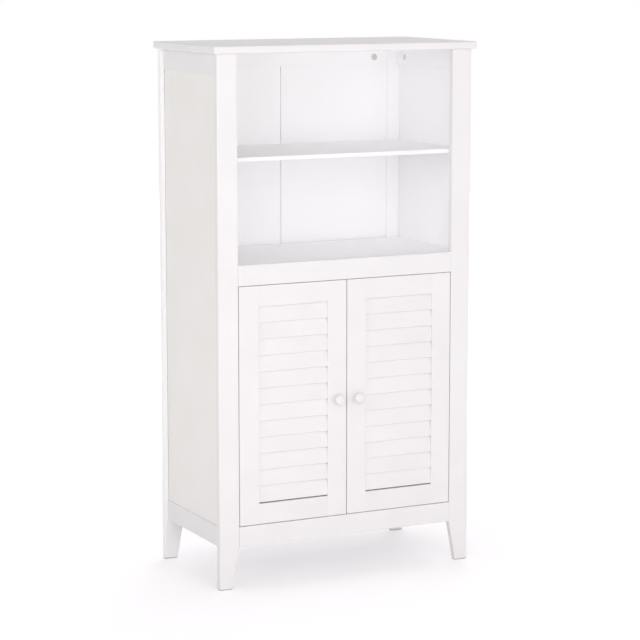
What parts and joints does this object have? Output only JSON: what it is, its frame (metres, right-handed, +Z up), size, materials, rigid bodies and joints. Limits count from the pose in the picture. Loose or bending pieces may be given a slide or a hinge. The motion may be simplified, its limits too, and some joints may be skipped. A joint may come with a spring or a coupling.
{
  "type": "bathroom cabinet",
  "caption": "Tall free-standing bathroom cabinet with an open shelved bay above a cupboard with louvred swing doors, on tapered feet.",
  "frame": {"origin": "on the floor, under the middle of the bounding box, knobs and top board's overhang included", "axes": "+Z up, the doors face -Y, +X towards the right-hand door as seen from the front"},
  "size_m": [0.622, 0.3382, 1.15],
  "materials": {
    "painted_boards": "satin white paint on smooth board",
    "painted_panels": "satin white paint on thin fibreboard",
    "painted_doors": "satin white paint on smooth wood",
    "painted_knobs": "satin white paint on turned wood",
    "pin_steel": "turned, bright zinc plated",
    "catch_plastic": "moulded, matt white"
  },
  "bodies": {
    "carcass": {"top_board": "painted_boards", "front_stile_left": "painted_boards", "front_stile_right": "painted_boards", "back_stile_left": "painted_boards", "back_stile_right": "painted_boards", "front_mid_rail": "painted_boards", "front_bottom_rail": "painted_boards", "back_top_rail": "painted_boards", "back_bottom_rail": "painted_boards", "side_top_rail_left": "painted_boards", "side_bottom_rail_left": "painted_boards", "side_top_rail_right": "painted_boards", "side_bottom_rail_right": "painted_boards", "upper_shelf": "painted_boards", "compartment_floor": "painted_boards", "bottom_board": "painted_boards", "side_panel_left": "painted_panels", "side_panel_right": "painted_panels", "back_panel_left": "painted_panels", "back_panel_right": "painted_panels", "magnetic_catch": "catch_plastic"},
    "door_left": {"door_left_hinge_stile": "painted_doors", "door_left_meeting_stile": "painted_doors", "door_left_top_rail": "painted_doors", "door_left_bottom_rail": "painted_doors", "door_left_slat_01": "painted_doors", "door_left_slat_02": "painted_doors", "door_left_slat_03": "painted_doors", "door_left_slat_04": "painted_doors", "door_left_slat_05": "painted_doors", "door_left_slat_06": "painted_doors", "door_left_slat_07": "painted_doors", "door_left_slat_08": "painted_doors", "door_left_slat_09": "painted_doors", "door_left_slat_10": "painted_doors", "door_left_slat_11": "painted_doors", "door_left_slat_12": "painted_doors", "door_left_knob": "painted_knobs", "door_left_pivot_lower": "pin_steel", "door_left_pivot_upper": "pin_steel"},
    "door_right": {"door_right_hinge_stile": "painted_doors", "door_right_meeting_stile": "painted_doors", "door_right_top_rail": "painted_doors", "door_right_bottom_rail": "painted_doors", "door_right_slat_01": "painted_doors", "door_right_slat_02": "painted_doors", "door_right_slat_03": "painted_doors", "door_right_slat_04": "painted_doors", "door_right_slat_05": "painted_doors", "door_right_slat_06": "painted_doors", "door_right_slat_07": "painted_doors", "door_right_slat_08": "painted_doors", "door_right_slat_09": "painted_doors", "door_right_slat_10": "painted_doors", "door_right_slat_11": "painted_doors", "door_right_slat_12": "painted_doors", "door_right_knob": "painted_knobs", "door_right_pivot_lower": "pin_steel", "door_right_pivot_upper": "pin_steel"}
  },
  "joints": [
    {"name": "door_left_hinge", "type": "hinge", "parent": "carcass", "child": "door_left", "pos_m": [-0.24, -0.14035, 0.392], "axis": [0, 0, -1], "range_deg": [0, 110]},
    {"name": "door_right_hinge", "type": "hinge", "parent": "carcass", "child": "door_right", "pos_m": [0.24, -0.14035, 0.392], "axis": [0, 0, 1], "range_deg": [0, 110]}
  ]
}
